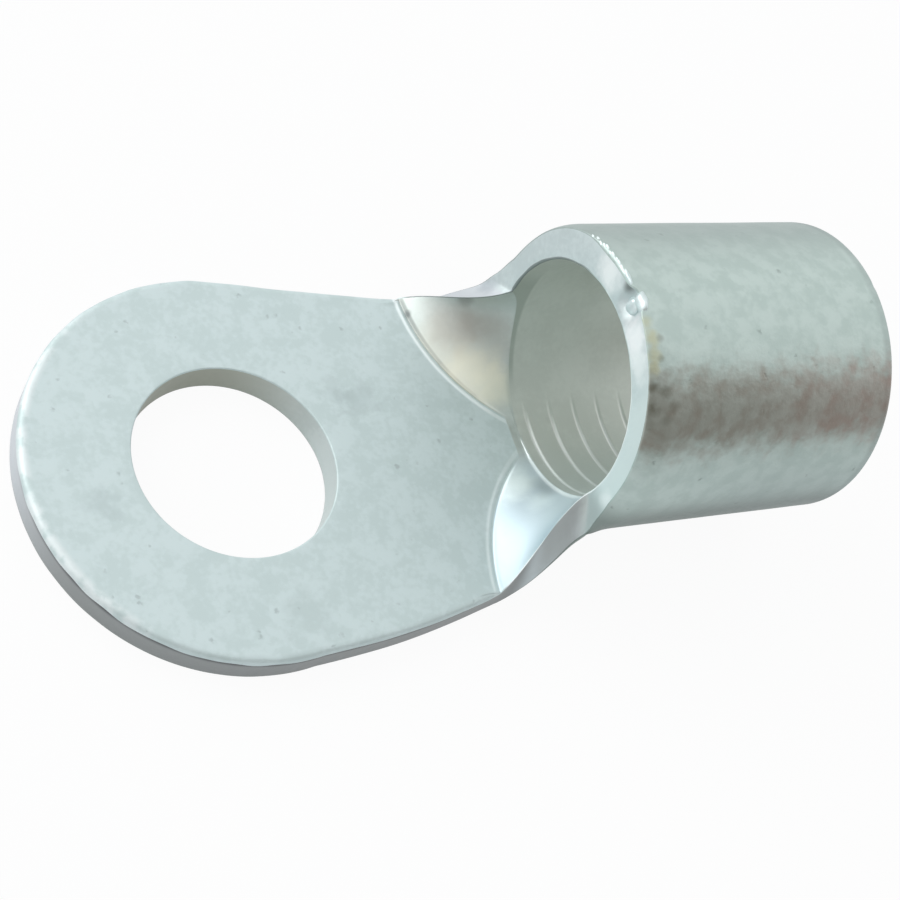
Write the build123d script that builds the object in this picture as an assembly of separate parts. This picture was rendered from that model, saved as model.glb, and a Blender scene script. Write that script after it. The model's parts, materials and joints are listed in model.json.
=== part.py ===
from build123d import *
import math
import os

# Crimp cable lug: a copper ring tongue whose neck is rolled up into a brazed barrel.
# Millimetres. The origin is the centre of the stud hole on the underside of the tongue,
# +X runs along the barrel to its cable mouth and +Z leaves the top face of the tongue.

# Sheet that the whole lug is blanked and rolled from
sheet = 1.8

# Tongue
stud_hole_d = 10.5
tongue_width = 21.3
neck_half_width = 8.8

# Barrel
barrel_od = 15.7
barrel_length = 15.7
rim_x = 15.5

# Throat between the tongue and the barrel
rim_drop = 1.25
crease_lean = 1.0
web_length = 0.45
tip_half_width = 1.2
fold_run = 4.05
fold_square_y = 9.4
inner_edge_lift = 0.3
outer_edge_bow = 1.4

# Serrations that grip the cable, counted from the rim
groove_count = 5
groove_inset = 1.8
groove_pitch = 1.6
groove_width = 0.36
groove_depth = 0.12

# Brazed seam along the top of the barrel
seam_width = 0.5
seam_depth = 0.1
nick_width = 0.7
nick_depth = 0.55
bead_d = 0.9
bead_inset = 0.75

# Edges: the blanking punch rolls the top edges over
tongue_edge_r = 0.25
roll_fullness = 0.35
hole_edge_r = 0.15
rear_edge_r = 0.35
rear_inner_chamfer = 0.25
rim_edge_r = 0.2

# Places that follow from the sizes
outer_r = barrel_od / 2
inner_r = outer_r - sheet
axis_z = outer_r
tongue_r = tongue_width / 2
rear_x = rim_x + barrel_length
rim_foot_z = axis_z - rim_drop
crease_foot_x = rim_x + crease_lean
tip_x = crease_foot_x - web_length
fold_reach = fold_square_y - tip_half_width
fold_r = (fold_run**2 + fold_reach**2) / (2 * fold_run)
fold_centre_x = tip_x - fold_run + fold_r
neck_x = fold_centre_x - math.sqrt(fold_r**2 - (fold_square_y - neck_half_width) ** 2)
clear = 1.0
touch = 0.01


def crease_x(z):
    """X of the leaning crease plane, where the throat meets the barrel."""
    return rim_x + crease_lean * (rim_foot_z - z) / (rim_foot_z - sheet)


def arc_row(centre, radius, start, end, place):
    """Control points and weights of a circular arc; place puts (u, v) into space."""
    half = (end - start) / 2
    middle = start + half
    flat = [
        (centre[0] + radius * math.cos(start), centre[1] + radius * math.sin(start)),
        (
            centre[0] + radius / math.cos(half) * math.cos(middle),
            centre[1] + radius / math.cos(half) * math.sin(middle),
        ),
        (centre[0] + radius * math.cos(end), centre[1] + radius * math.sin(end)),
    ]
    return [Vector(*place(u, v)) for u, v in flat], [1.0, math.cos(half), 1.0]


def fold_row(z):
    """The coined fold from the tip of the flat out to the neck edge, at height z."""
    tip_turn = math.asin(fold_reach / fold_r)
    neck_turn = math.asin((fold_square_y - neck_half_width) / fold_r)
    centre = (fold_centre_x, fold_square_y)
    return arc_row(centre, fold_r, math.pi + tip_turn, math.pi + neck_turn, lambda x, y: (x, y, z))


def mouth_row(radius):
    """The crease on the barrel, from beside its bottom line up to the foot of the rim."""
    start = -math.pi / 2 + math.asin(tip_half_width / radius)
    end = -math.asin(rim_drop / radius)
    return arc_row((0, axis_z), radius, start, end, lambda y, z: (crease_x(z), y, z))


def web_rows(radius, z):
    """The short straight end of the flat, and the bottom of the crease behind it."""
    turn = math.asin(tip_half_width / radius)
    front = [Vector(tip_x, y, z) for y in (-tip_half_width, 0, tip_half_width)]
    down = -math.pi / 2
    rear = arc_row((0, axis_z), radius, down - turn, down + turn, lambda y, s: (crease_x(s), y, s))
    return (front, [1.0, 1.0, 1.0]), rear


def patch(front, rear, bow=Vector(0, 0, 0)):
    """A smooth face between two rows; bow moves its middle, growing to the free edge."""
    middle = [(a + b) / 2 + bow * share for a, b, share in zip(front[0], rear[0], (0, 0.5, 1))]
    weights = [(a + b) / 2 for a, b in zip(front[1], rear[1])]
    return [front[0], middle, rear[0]], [front[1], weights, rear[1]]


def side(grid, place):
    """One edge column of a patch as a list of control points, for a face that joins it."""
    return [row[place] for row in grid[0]]


def ring_faces(inner, outer, ends):
    """Faces of a patch, its outer twin, the crease between them, and the named ends."""
    faces = [Face.make_bezier_surface(*inner), Face.make_bezier_surface(*outer)]
    rows = [inner[0][2], outer[0][2]]
    faces.append(Face.make_bezier_surface(rows, [inner[1][2], outer[1][2]]))
    for place in ends:
        faces.append(Face.make_bezier_surface([side(inner, place), side(outer, place)]))
    return faces


def mirrored(grid):
    """The same patch on the other side of the lug."""
    rows, weights = grid
    return [[Vector(p.X, -p.Y, p.Z) for p in row] for row in rows], weights


def blanked_edge(z, short=0.0):
    """Flank, ring and flank at height z, stopping a little short of both neck corners."""
    reach = math.hypot(neck_x, neck_half_width)
    turn = math.atan2(neck_half_width, neck_x) + math.acos(tongue_r / reach)
    start = Vector(tongue_r * math.cos(turn), tongue_r * math.sin(turn), z)
    end = Vector(neck_x, neck_half_width, z)
    end -= (end - start).normalized() * short
    ring = ThreePointArc(start, (-tongue_r, 0, z), (start.X, -start.Y, z))
    return [Line(end, start), ring, Line((start.X, -start.Y, z), (end.X, -end.Y, z))]


def tongue_outline(z):
    """The blanked edge, both folds and the tip of the flat, as one wire at height z."""
    fold, weights = fold_row(z)
    edges = blanked_edge(z)
    for hand in (1, -1):
        points = [Vector(p.X, hand * p.Y, p.Z) for p in fold]
        edges.append(Edge.make_bezier(*points, weights=weights))
    edges.append(Line((tip_x, tip_half_width, z), (tip_x, -tip_half_width, z)))
    return Wire(edges)


def rolled_edge():
    """What the punch leaves off the top edge of the tongue, rolling it over."""
    r = tongue_edge_r
    path = Wire(blanked_edge(sheet, short=r))
    start = Plane(path @ 0, x_dir=(0, 0, 1), z_dir=path % 0)
    middle = -r * roll_fullness
    outline = [
        ThreePointArc((-r, 0), (middle, middle), (0, -r)),
        Polyline((0, -r), (clear, -r), (clear, clear), (-r, clear), (-r, 0)),
    ]
    profile = start * make_face(outline)
    return sweep(profile, path)


def tongue_and_throat():
    """The flat tongue with the two wings and the web that lead up into the barrel."""
    lift = Vector(0, inner_edge_lift, inner_edge_lift / 2)
    bow = Vector(outer_edge_bow, 0, 0)
    inner = patch(fold_row(sheet), mouth_row(inner_r), lift)
    outer = patch(fold_row(0), mouth_row(outer_r), bow)
    faces = ring_faces(inner, outer, [2])
    faces += ring_faces(mirrored(inner), mirrored(outer), [2])
    faces += ring_faces(patch(*web_rows(inner_r, sheet)), patch(*web_rows(outer_r, 0)), [])
    top, bottom = tongue_outline(sheet), tongue_outline(0)
    faces += [Face(top), Face(bottom)]
    for edge in bottom.edges():
        if edge.center().X < neck_x:
            faces.append(Face.extrude(edge, (0, 0, sheet)))
    return Solid(Shell(faces))


def barrel():
    """The rolled tube, its lower front cut back along the leaning crease plane."""
    along = Plane((rim_x, 0, axis_z), x_dir=(0, 1, 0), z_dir=(1, 0, 0))
    tube = extrude(along * (Circle(outer_r) - Circle(inner_r)), barrel_length)
    profile = Plane.XZ * Polyline(
        (rim_x - clear, rim_foot_z),
        (rim_x, rim_foot_z),
        (crease_x(-clear), -clear),
        (rim_x - clear, -clear),
        close=True,
    )
    return tube - extrude(make_face(profile), barrel_od, both=True)


def spans(edge, axis, place):
    """True for an edge that lies wholly in the plane across an axis at one place."""
    box = edge.bounding_box()
    low, high = getattr(box.min, axis), getattr(box.max, axis)
    return abs(low - place) < touch and abs(high - place) < touch


def circles(lug, axis, place, radius):
    """The circular edges of one radius in the plane across an axis."""
    found = [edge for edge in lug.edges() if edge.geom_type == GeomType.CIRCLE]
    return [edge for edge in found if spans(edge, axis, place) and abs(edge.radius - radius) < touch]


def rounded(lug):
    """The punch-rolled top edges, the softened hole edge, and both dressed barrel ends."""
    lug -= rolled_edge()
    lug = fillet(circles(lug, "Z", sheet, stud_hole_d / 2), hole_edge_r)
    lug = fillet(circles(lug, "X", rear_x, outer_r), rear_edge_r)
    lug = chamfer(circles(lug, "X", rear_x, inner_r), rear_inner_chamfer)
    return fillet(circles(lug, "X", rim_x, outer_r), rim_edge_r)


def grooves():
    """Shallow V rings cut into the bore, where the strands bite when the barrel is pressed."""
    profile = Plane.XZ * Polyline(
        (-groove_width, axis_z + inner_r - groove_depth),
        (0, axis_z + inner_r + groove_depth),
        (groove_width, axis_z + inner_r - groove_depth),
        close=True,
    )
    ring = revolve(make_face(profile), Axis((0, 0, axis_z), (1, 0, 0)), 360)
    first_x = rim_x + groove_inset
    return [Pos(first_x + index * groove_pitch, 0, 0) * ring for index in range(groove_count)]


def seam():
    """The line left by the braze, and the notch where it breaks out of the rim."""
    top_z = axis_z + outer_r
    line = Plane.YZ * Polyline(
        (-seam_width, top_z + seam_depth),
        (0, top_z - seam_depth),
        (seam_width, top_z + seam_depth),
        close=True,
    )
    notch = Plane.XY * Polyline(
        (-nick_depth, -nick_width),
        (nick_depth, 0),
        (-nick_depth, nick_width),
        close=True,
    )
    cuts = [Pos(rim_x - clear, 0, 0) * extrude(make_face(line), barrel_length + 2 * clear)]
    cuts.append(Pos(rim_x, 0, axis_z) * extrude(make_face(notch), outer_r + clear))
    return cuts


def bead():
    """The drop of braze that stands on the seam just behind the rim."""
    return Pos(rim_x + bead_inset, 0, axis_z + outer_r - bead_d / 4) * Sphere(bead_d / 2)


def build_lug():
    """The whole lug as one solid."""
    lug = rounded(tongue_and_throat() + barrel() - Cylinder(stud_hole_d / 2, 4 * sheet))
    for cut in grooves() + seam():
        lug -= cut
    return lug + bead()


lug_body = build_lug()
os.makedirs("parts", exist_ok=True)
export_step(lug_body, "parts/lug_body.step")
print(f"lug_body: {len(lug_body.solids())} solid, {lug_body.volume:.1f} mm3, fold radius {fold_r:.2f}")
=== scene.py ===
# %% [markdown]
# # A tin-plated crimp lug
# A crimp lug joins a thick cable to a stud. It is punched from copper sheet, its neck is
# folded up and rolled round into a barrel, the joint is brazed, and the whole is tinned.
# We build it as one skin of quads, because the fold, the rolled rim and the cut edges all
# flow into each other, and we dress it with materials made only from nodes.

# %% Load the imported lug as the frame
import json
import math
import bpy
import numpy as np
from mathutils import Matrix, Vector


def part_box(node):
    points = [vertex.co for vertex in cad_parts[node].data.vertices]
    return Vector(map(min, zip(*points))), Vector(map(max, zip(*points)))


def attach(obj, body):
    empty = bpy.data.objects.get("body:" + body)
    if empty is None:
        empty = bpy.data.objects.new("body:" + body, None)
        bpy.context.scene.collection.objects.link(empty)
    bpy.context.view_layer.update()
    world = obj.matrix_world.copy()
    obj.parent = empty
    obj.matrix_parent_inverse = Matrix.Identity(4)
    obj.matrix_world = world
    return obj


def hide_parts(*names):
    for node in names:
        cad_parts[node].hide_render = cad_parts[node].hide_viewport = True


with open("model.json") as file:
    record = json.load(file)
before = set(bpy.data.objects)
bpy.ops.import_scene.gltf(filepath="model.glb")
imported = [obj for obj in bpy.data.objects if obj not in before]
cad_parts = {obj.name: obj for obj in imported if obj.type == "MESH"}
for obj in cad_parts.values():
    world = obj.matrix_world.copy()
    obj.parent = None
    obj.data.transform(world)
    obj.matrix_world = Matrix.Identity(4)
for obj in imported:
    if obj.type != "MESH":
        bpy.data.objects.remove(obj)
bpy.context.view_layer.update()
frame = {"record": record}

# %% [markdown]
# ## Sizes
# The driving sizes come from the frame: its box, and the two bores that the record states.
# The rest repeats the shape of the throat in millimetres, so the dressed lug and the plain
# solid stay the same part.

# %% Sizes that the frame gives
mm = 0.001
low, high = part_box("lug_body")
mounts = {mount["name"]: mount for mount in frame["record"]["mounts"]}
hole_r = mounts["stud_hole"]["dims"]["r_mm"] * mm
bore_r = mounts["cable_barrel"]["dims"]["r_mm"] * mm
sheet = 1.8 * mm
barrel_r = bore_r + sheet
axis_z = barrel_r
ring_r = -low.x
rear_x = high.x
print(f"ring {ring_r / mm:.2f} mm, barrel {barrel_r / mm:.2f} mm, rear at {rear_x / mm:.2f} mm")

# %% Sizes of the neck, the fold and the rim
neck_half = {"far": 9.07 * mm, "near": 8.80 * mm}
flank_bow = {"far": -0.08 * mm, "near": 0.29 * mm}
rim_x = 15.6 * mm
tip_x = 16.05 * mm
tip_half = 1.2 * mm
crease_lean = 1.0 * mm
crease_turn = 0.09
fold_run = 4.05 * mm
fold_square_y = 9.4 * mm
fold_reach = fold_square_y - tip_half
fold_r = (fold_run**2 + fold_reach**2) / (2 * fold_run)
fold_centre_x = tip_x - fold_run + fold_r
rim_drop_inside = 0.95 * mm
rim_drop_outside = 2.3 * mm
print(f"fold radius {fold_r / mm:.2f} mm, its centre at x {fold_centre_x / mm:.2f} mm")

# %% [markdown]
# ## The skin as columns and rows
# Every point of the sheet has a twin on its other face. So both faces are laid out in the
# same columns: round the tongue, up the two wings of the throat, and along the barrel. The
# cut edges then join each border point to its twin. A modifier such as Solidify would be
# quicker, but it can't twist the cut face as the real wing does.

# %% How finely the skin is divided
fold_steps = 48
web_steps = 12
flank_steps = 18
ring_steps = 120
rim_steps = 84
seam_reach = math.radians(9)
seam_steps = 26
seam_crowding = 3
tongue_rows = 18
wing_middle_rows = 18
lead_rows = 8
lead_crowding = 1.5
bore_rear_rows = 24
outer_tube_rows = 60
path_depth = 10
corner_steps = 5
wall_steps = 6


# %% The fold between the flat and one wing, seen from above
def fold_line(z, side):
    """Points of one side's fold at height z, from the tip of the flat out to the neck corner."""
    tip_turn = math.asin(fold_reach / fold_r)
    neck_turn = math.asin((fold_square_y - neck_half[side]) / fold_r)
    turn = np.linspace(tip_turn, neck_turn, fold_steps + 1)
    x = fold_centre_x - fold_r * np.cos(turn)
    y = fold_square_y - fold_r * np.sin(turn)
    return np.stack([x, y, np.full_like(x, z)], axis=1)


def mirrored(points):
    return points * np.array([1, -1, 1])


print("fold ends", np.round(fold_line(sheet, "far")[[0, -1]] / mm, 2).tolist())


# %% The crease on the barrel where a wing runs into it
def on_barrel(x, turn, radius):
    """Points at turn radians round the barrel's axis, turn 0 facing +Y and up at a quarter."""
    return np.stack(np.broadcast_arrays(x, radius * np.cos(turn), axis_z + radius * np.sin(turn)), axis=-1)


def crease_line(radius, rim_drop):
    """Points of the crease, from beside the barrel's bottom line up to the foot of the rim."""
    bottom = -math.pi / 2 + math.asin(tip_half / radius)
    foot = -math.asin(rim_drop / radius)
    turn = np.linspace(bottom, foot, fold_steps + 1)
    below_foot = (foot - turn) / (foot + math.pi / 2)
    x = rim_x + crease_lean * (1 - np.exp(-below_foot / crease_turn))
    return on_barrel(x, turn, radius), turn


print("crease ends", np.round(crease_line(bore_r, rim_drop_inside)[0][[0, -1]] / mm, 2).tolist())


# %% [markdown]
# ## The wings
# A wing starts at the fold, stands up at the neck, and turns into the round of the barrel.
# Each column of it is one Bezier curve from the fold to the crease. The two handles are
# set where it shows most, at the free edge, and they relax towards the tip of the flat.

# %% One wing as a sheet of Bezier curves
def unit(vectors):
    return vectors / np.linalg.norm(vectors, axis=-1, keepdims=True)


def wing(start, end, leave, arrive):
    """Curves from each point of start to its twin in end; leave and arrive shape the free edge."""
    chord = end - start
    length = np.linalg.norm(chord, axis=1, keepdims=True)
    free = np.linspace(0, 1, len(start))[:, None] ** 2
    straight = chord / length
    leaving, arriving = (straight + free * (unit(np.array(way)) - straight) for way in (leave, arrive))
    first = start + unit(leaving) * length / 3
    last = end - unit(arriving) * length / 3
    t = np.array(wing_shares)[None, :, None]
    p0, p1, p2, p3 = (p[:, None, :] for p in (start, first, last, end))
    return p0 * (1 - t) ** 3 + 3 * p1 * t * (1 - t) ** 2 + 3 * p2 * t**2 * (1 - t) + p3 * t**3


by_the_fold = [0, 0.010, 0.020, 0.032, 0.046, 0.064, 0.09, 0.125]
by_the_crease = [0.95, 0.972, 0.988, 1]
up_the_wing = np.linspace(0.17, 0.92, wing_middle_rows).tolist()
wing_shares = by_the_fold + up_the_wing + by_the_crease
inside_shape = {"leave": (0.60, -0.30, 0.74), "arrive": (0.60, -0.16, 0.78)}
outside_shape = {"leave": (0.80, 0.00, 0.60), "arrive": (0.47, -0.34, 0.81)}


# %% Both wings with the short web between them
def throat(z, radius, rim_drop, shape):
    """The grid from the fold to the crease, from the near neck corner over to the far one."""
    crease, turn = crease_line(radius, rim_drop)
    far, near = (wing(fold_line(z, side), crease, **shape) for side in ("far", "near"))
    near = mirrored(near)[::-1]
    share = np.linspace(0, 1, web_steps + 1)[1:-1, None, None]
    half = turn[0] + math.pi / 2
    web_turn = -math.pi / 2 + half * (2 * share[:, :, 0] - 1)
    rear = on_barrel(crease[0, 0], web_turn, radius)
    front = np.array([tip_x, 0, z]) + (2 * share - 1) * np.array([0, tip_half, 0])
    web = front + (rear - front) * np.array(wing_shares)[None, :, None]
    turns = np.concatenate([(-math.pi - turn)[::-1], web_turn[:, 0], turn])
    return np.concatenate([near, web, far]), turns


throat_columns = 2 * (fold_steps + 1) + web_steps - 1
print("throat columns", throat_columns, throat(sheet, bore_r, rim_drop_inside, inside_shape)[0].shape)


# %% [markdown]
# ## The tongue
# The blanked outline is two straight flanks and a round end. The columns run from the stud
# hole out to it, and the rows crowd together towards it, so that the coined line along the
# fold and the rounding of the blanked edge both stay crisp.

# %% The outline of the tongue from above
def round_hole(turn, radius):
    """Plan points at turn radians round the centre of the stud hole."""
    return radius * np.stack([np.cos(turn), np.sin(turn)], axis=-1)


def flank(side):
    """Plan points between the neck corner and the ring, and the turn where it meets the ring."""
    corner = fold_line(0, side)[-1, :2]
    turn = math.atan2(corner[1], corner[0]) + math.acos(ring_r / math.hypot(*corner))
    share = np.linspace(0, 1, flank_steps + 1)[1:-1, None]
    bow = np.sin(math.pi * share) * np.array([0, flank_bow[side]])
    return corner + (round_hole(turn, ring_r) - corner) * share + bow, turn


def blanked_outline():
    """Plan points from the far neck corner along the flank, round the ring, and back."""
    (far, far_turn), (near, near_turn) = flank("far"), flank("near")
    ring = round_hole(np.linspace(far_turn, 2 * math.pi - near_turn, ring_steps + 1), ring_r)
    return np.concatenate([far, ring, (near * (1, -1))[::-1]])


rows_near_edge = np.array([0, 0.07, 0.14, 0.21, 0.28, 0.36, 0.46, 0.60, 0.80]) * mm


def tongue(z):
    """The grid from the stud hole out to the outline, in throat order and then the outline's."""
    far_fold, near_fold = (fold_line(z, side)[:, :2] for side in ("far", "near"))
    web_y = np.linspace(-tip_half, tip_half, web_steps + 1)[1:-1]
    web = np.stack([np.full_like(web_y, tip_x), web_y], axis=1)
    plan = np.concatenate([(near_fold * (1, -1))[::-1], web, far_fold, blanked_outline()])
    hole = round_hole(np.arctan2(plan[:, 1], plan[:, 0]), hole_r)
    length = np.linalg.norm(plan - hole, axis=1)[:, None]
    last = rows_near_edge[-1]
    rest = last + (length - last) * np.linspace(0, 1, tongue_rows + 1)[1:]
    near = np.broadcast_to(rows_near_edge, (len(plan), len(rows_near_edge)))
    inset = np.concatenate([near, rest], axis=1)[:, ::-1]
    flat = plan[:, None, :] + (hole - plan)[:, None, :] * (inset / length)[:, :, None]
    return np.concatenate([flat, np.full(flat.shape[:2] + (1,), z)], axis=2)


print("tongue grid", tongue(sheet).shape)

# %% [markdown]
# ## The barrel
# Inside and outside are tubes. The lower columns start at the crease and the upper ones at
# the rim. The upper columns crowd together at the top, where the brazed seam runs, and the
# rows of the bore crowd together where its serrations will be pressed in.

# %% Places of the serrations along the bore
serration = {
    "first": 17.35 * mm, "pitch": 1.6 * mm, "count": 5,
    "half_width": 0.15 * mm, "depth": 0.055 * mm,
}
serration_places = serration["first"] + serration["pitch"] * np.arange(serration["count"])
profile = np.array([-1.6, -1.2, -1, -0.6, -0.25, 0, 0.25, 0.6, 1, 1.2, 1.6]) * serration["half_width"]
bore_rows = np.concatenate([place + profile for place in serration_places])
bore_rows = np.concatenate([bore_rows, np.linspace(bore_rows[-1], rear_x, bore_rear_rows)[1:]])
behind_crease_x = 17.0 * mm
outer_rows = np.linspace(behind_crease_x, rear_x, outer_tube_rows)
print("serrations at", np.round(serration_places / mm, 2).tolist())


# %% The tube from the rim and the crease back to the rear end
def tube(lower_start, lower_turn, radius, rows):
    """The grid of the whole tube: the throat's columns, then over the top from far to near."""
    foot = lower_turn[-1]
    top = math.pi / 2
    side = np.linspace(foot, top - seam_reach, rim_steps // 2 + 1)[1:]
    crowded = seam_reach * np.linspace(-1, 1, seam_steps + 1) ** seam_crowding
    over = np.concatenate([side, top + crowded[1:-1], (math.pi - side)[::-1]])
    turn = np.concatenate([lower_turn, over])
    start = np.concatenate([lower_start[:, 0], np.full(len(over), rim_x)])
    share = np.linspace(0, 1, lead_rows + 1)[None, :-1] ** lead_crowding
    lead = share * (rows[0] - start[:, None]) + start[:, None]
    x = np.concatenate([lead, np.broadcast_to(rows, (len(start), len(rows)))], axis=1)
    grid = on_barrel(x, turn[:, None], radius)
    grid[: len(lower_start), 0] = lower_start
    return grid


# %% [markdown]
# ## Laying the skin
# The grids are laid one after another into a single list of points. Where two grids meet,
# the second takes the first one's border points instead of laying its own, so the skin
# has no seams to weld.

# %% A list of points that grows grid by grid
class Skin:
    def __init__(self):
        self.points = []
        self.across = []
        self.faces = []
        self.finishes = []

    def lay(self, grid, first_row=None, across=0.0):
        """Adds a grid of points, or all but its first row where that is already there."""
        start = 0 if first_row is None else 1
        new = grid[:, start:]
        ids = len(self.points) + np.arange(new.shape[0] * new.shape[1]).reshape(new.shape[:2])
        self.points.extend(new.reshape(-1, 3))
        self.across.extend(np.broadcast_to(across, ids.shape).ravel())
        return ids if first_row is None else np.concatenate([first_row[:, None], ids], axis=1)

    def cover(self, ids, finish, closed):
        """Adds the quads between neighbouring columns and rows."""
        ring = np.concatenate([ids, ids[:1]]) if closed else ids
        a, b, c, d = ring[:-1, :-1], ring[1:, :-1], ring[1:, 1:], ring[:-1, 1:]
        quads = np.stack([a, b, c, d], axis=-1).reshape(-1, 4)
        self.faces.extend(quads.tolist())
        self.finishes.extend([finish_names.index(finish)] * len(quads))

    def at(self, ids):
        return np.array([self.points[i] for i in ids])

    def put(self, ids, points):
        for number, point in zip(ids, points):
            self.points[number] = point


finish_names = ["tongue_tin", "wing_tin", "barrel_tin", "bore_tin", "edge_tin", "hole_tin", "braze_tin"]


# %% One face of the sheet, inside or outside
def lay_face(skin, side, z, radius, rim_drop, shape, rows, throat_finish, tube_finish):
    """Lays the tongue, the throat and the tube of one face; side is 0 inside and 1 outside."""
    throat_grid, turns = throat(z, radius, rim_drop, shape)
    tongue_ids = skin.lay(tongue(z), across=side)
    throat_ids = skin.lay(throat_grid, first_row=tongue_ids[:throat_columns, -1], across=side)
    tube_grid = tube(throat_grid[:, -1], turns, radius, rows)
    upper = skin.lay(tube_grid[throat_columns:, :1], across=side)
    first = np.concatenate([throat_ids[:, -1], upper[:, 0]])
    tube_ids = skin.lay(tube_grid, first_row=first, across=side)
    skin.cover(tongue_ids, "tongue_tin", closed=True)
    skin.cover(throat_ids, throat_finish, closed=False)
    skin.cover(tube_ids, tube_finish, closed=True)
    return {"tongue": tongue_ids, "throat": throat_ids, "tube": tube_ids}


skin = Skin()
inner_form = (sheet, bore_r, rim_drop_inside, inside_shape, bore_rows)
outer_form = (0.0, barrel_r, rim_drop_outside, outside_shape, outer_rows)
inner = lay_face(skin, 0.0, *inner_form, "wing_tin", "bore_tin")
outer = lay_face(skin, 1.0, *outer_form, "barrel_tin", "barrel_tin")
print("points of both faces", len(skin.points))


# %% [markdown]
# ## The cut edges
# Three borders are left open: the stud hole, the rear end of the barrel, and one long
# border that runs round the tongue, up both wings and over the rim. Before the long one is
# closed, the outside is rolled over beside the rim, the corner at the rim's foot is eased,
# and the crease is filled. A punched edge is rolled over on the side the punch came from,
# so each border point has its own radius.

# %% The free border, and the paths that lead into a face from it
def free_paths(face):
    """Round the tongue, up the near wing, over the rim, down the far wing: numbers by depth."""
    tongue_ids, throat_ids, tube_ids = face["tongue"], face["throat"], face["tube"]
    blank = tongue_ids[throat_columns - 1:, ::-1][:, :path_depth]
    near = throat_ids[:path_depth].T
    rim = tube_ids[: throat_columns - 1: -1, :path_depth]
    far = throat_ids[::-1][:path_depth].T[:0:-1]
    return np.concatenate([blank, near, rim, far]).T


blank_points = len(inner["tongue"]) - throat_columns + 1
border_points = free_paths(inner).shape[1]


def radii(blank, wing, rim):
    """A rounding radius for each point of the free border."""
    rim_points = len(inner["tube"]) - throat_columns
    wing_points = len(wing_shares)
    counts = [blank_points, wing_points, rim_points, wing_points - 1]
    return np.repeat([blank, wing, rim, wing], counts)


def wander(waves, share, seed):
    """A smooth random factor round the free border, near 1, as handwork leaves it."""
    draw = np.random.default_rng(seed)
    place = np.linspace(0, 2 * math.pi, border_points, endpoint=False)
    swing = sum(np.sin(wave * place + draw.uniform(0, 2 * math.pi)) * draw.normal() for wave in waves)
    return 1 + share * swing / math.sqrt(len(waves))


print("free border points", border_points)

# %% Roll the outside over beside the rim's sides
roll = {"drop": 0.58 * mm, "run": 1.35 * mm, "fall": 1.6, "far_power": 6, "near_power": 1.2}
roll_share = {"below": 0.15, "rim": 0.85}
ease = {"reach": 0.9 * mm, "from_x": 11.5 * mm}


def near_crease(rows):
    """Numbers of the outer points in the throat's last rows and the tube's first ones."""
    return np.unique(np.append(outer["throat"][:, -rows:], outer["tube"][:, : 2 * path_depth]))


def eased(border):
    """How far each border point moves when the corner at the rim's foot is eased."""
    step = np.linalg.norm(np.diff(border, axis=0), axis=1)
    travelled = np.concatenate([[0], np.cumsum(step)])
    own = (np.append(step, 0) + np.insert(step, 0, 0)) / 2
    weight = own * np.exp(-(((travelled[:, None] - travelled) / ease["reach"]) ** 2))
    middle = weight @ border / weight.sum(axis=1, keepdims=True)
    return (middle - border) * np.clip((border[:, :1] - ease["from_x"]) / mm, 0, 1)


def rolled_over(points, border, inward):
    """Pushes points inward: most beside the rim's two sides, none on top or far from the border."""
    foot_z = axis_z - rim_drop_outside
    rise = np.clip((border[:, 2] - foot_z) / rim_drop_outside, 0, 1)
    below = np.clip((border[:, 2] - sheet) / (foot_z - sheet), 0, 1)
    turn = np.arctan2(border[:, 2] - axis_z, np.abs(border[:, 1]))
    power = np.where(border[:, 1] > 0, roll["far_power"], roll["near_power"])
    drop = roll["drop"] * (roll_share["below"] * below + roll_share["rim"] * rise) * np.cos(turn) ** power
    moved = inward * drop[:, None] + eased(border)
    a, step = border[:-1], np.diff(border, axis=0)
    share = np.clip(((points[:, None] - a) * step).sum(axis=2) / (step**2).sum(axis=1), 0, 1)
    away = np.linalg.norm(points[:, None] - a - share[..., None] * step, axis=2)
    nearest = away.argmin(axis=1)
    own = (np.arange(len(points)), nearest)
    share, away = share[own][:, None], away[own][:, None]
    push = moved[nearest] * (1 - share) + moved[nearest + 1] * share
    return points + push * np.clip(1 - away / roll["run"], 0, 1) ** roll["fall"]


def roll_rim(skin):
    """Rolls over the outer face, from one neck corner over the rim to the other."""
    outer_border, inner_border = (free_paths(face)[0][blank_points:] for face in (outer, inner))
    border = skin.at(outer_border)
    ids = near_crease(len(wing_shares))
    skin.put(ids, rolled_over(skin.at(ids), border, unit(skin.at(inner_border) - border)))


roll_rim(skin)
print("rim's side is rolled over by", roll["drop"] / mm, "mm")

# %% Fill the outside of the crease, where the sheet can't bend sharply
fill = {"height": 0.16 * mm, "reach": 0.7 * mm, "rows": 16, "top": axis_z + 0.5 * mm}


def from_axis(points):
    """Unit vectors that point straight away from the barrel's axis."""
    return unit((points - np.array([0, 0, axis_z])) * np.array([0, 1, 1]))


def fill_crease(skin):
    """Pushes the outside out along the crease, most at the crease itself."""
    crease = skin.at(outer["tube"][:throat_columns, 0])
    ids = near_crease(fill["rows"])
    points = skin.at(ids)
    away = np.linalg.norm(points[:, None] - crease, axis=2).min(axis=1)
    low_part = np.clip((fill["top"] - points[:, 2]) / mm, 0, 1) * np.clip(points[:, 2] / mm, 0, 1)
    lift = fill["height"] * np.exp(-((away / fill["reach"]) ** 2)) * low_part
    skin.put(ids, points + from_axis(points) * lift[:, None])


fill_crease(skin)
print("crease filled by up to", fill["height"] / mm, "mm")


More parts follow.
